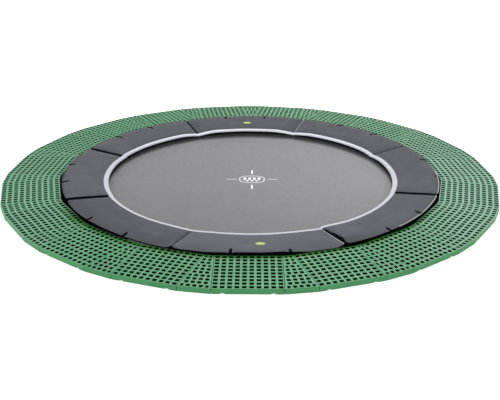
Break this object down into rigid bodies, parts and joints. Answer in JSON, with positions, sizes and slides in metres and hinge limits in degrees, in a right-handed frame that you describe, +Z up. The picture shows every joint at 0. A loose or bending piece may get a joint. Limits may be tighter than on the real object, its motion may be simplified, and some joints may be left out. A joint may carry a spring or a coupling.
{
  "type": "ground-level trampoline",
  "caption": "Round ground-level trampoline: sprung jump mat, padded edge cover, low tubular frame, and a surrounding ring of perforated safety tiles.",
  "frame": {"origin": "middle of the part, on the plane under the frame's feet", "axes": "+Z up, -Y towards the front square tile, +X to the right seen from the front"},
  "size_m": [4.486, 4.4707, 0.414],
  "materials": {
    "tile_green": "moulded matte green",
    "pad_cover": "coated cloth, dark grey, matte",
    "mat_cloth": "woven, matte",
    "galvanised_steel": "galvanised",
    "spring_steel": "zinc plated"
  },
  "bodies": {
    "frame": {"safety_tile_01": "tile_green", "safety_tile_02": "tile_green", "safety_tile_03": "tile_green", "safety_tile_04": "tile_green", "safety_tile_05": "tile_green", "safety_tile_06": "tile_green", "safety_tile_07": "tile_green", "safety_tile_08": "tile_green", "safety_tile_09": "tile_green", "safety_tile_10": "tile_green", "safety_tile_11": "tile_green", "safety_tile_12": "tile_green", "safety_tile_13": "tile_green", "safety_tile_14": "tile_green", "safety_tile_15": "tile_green", "safety_tile_16": "tile_green", "safety_tile_17": "tile_green", "safety_tile_18": "tile_green", "safety_tile_19": "tile_green", "wedge_tile_01": "tile_green", "wedge_tile_02": "tile_green", "wedge_tile_03": "tile_green", "wedge_tile_04": "tile_green", "wedge_tile_05": "tile_green", "wedge_tile_06": "tile_green", "wedge_tile_07": "tile_green", "wedge_tile_08": "tile_green", "wedge_tile_09": "tile_green", "wedge_tile_10": "tile_green", "wedge_tile_11": "tile_green", "wedge_tile_12": "tile_green", "wedge_tile_13": "tile_green", "wedge_tile_14": "tile_green", "wedge_tile_15": "tile_green", "wedge_tile_16": "tile_green", "wedge_tile_17": "tile_green", "wedge_tile_18": "tile_green", "wedge_tile_19": "tile_green", "edge_pad_1": "pad_cover", "edge_pad_2": "pad_cover", "edge_pad_3": "pad_cover", "edge_pad_4": "pad_cover", "edge_pad_5": "pad_cover", "edge_pad_6": "pad_cover", "edge_pad_7": "pad_cover", "edge_pad_8": "pad_cover", "frame_rail_1": "galvanised_steel", "frame_rail_2": "galvanised_steel", "frame_rail_3": "galvanised_steel", "frame_rail_4": "galvanised_steel", "u_leg_1": "galvanised_steel", "u_leg_2": "galvanised_steel", "u_leg_3": "galvanised_steel", "u_leg_4": "galvanised_steel", "spring_bank_1": "spring_steel", "spring_bank_2": "spring_steel", "spring_bank_3": "spring_steel", "spring_bank_4": "spring_steel"},
    "mat": {"jump_mat": "mat_cloth"}
  },
  "joints": [
    {"name": "mat_bounce", "type": "slide", "parent": "frame", "child": "mat", "axis": [0, 0, 1], "range_m": [-0.25, 0], "stiffness_N_per_m": 6000, "springref_m": 0.02, "deforming": ["spring_bank_1", "spring_bank_2", "spring_bank_3", "spring_bank_4"]}
  ]
}
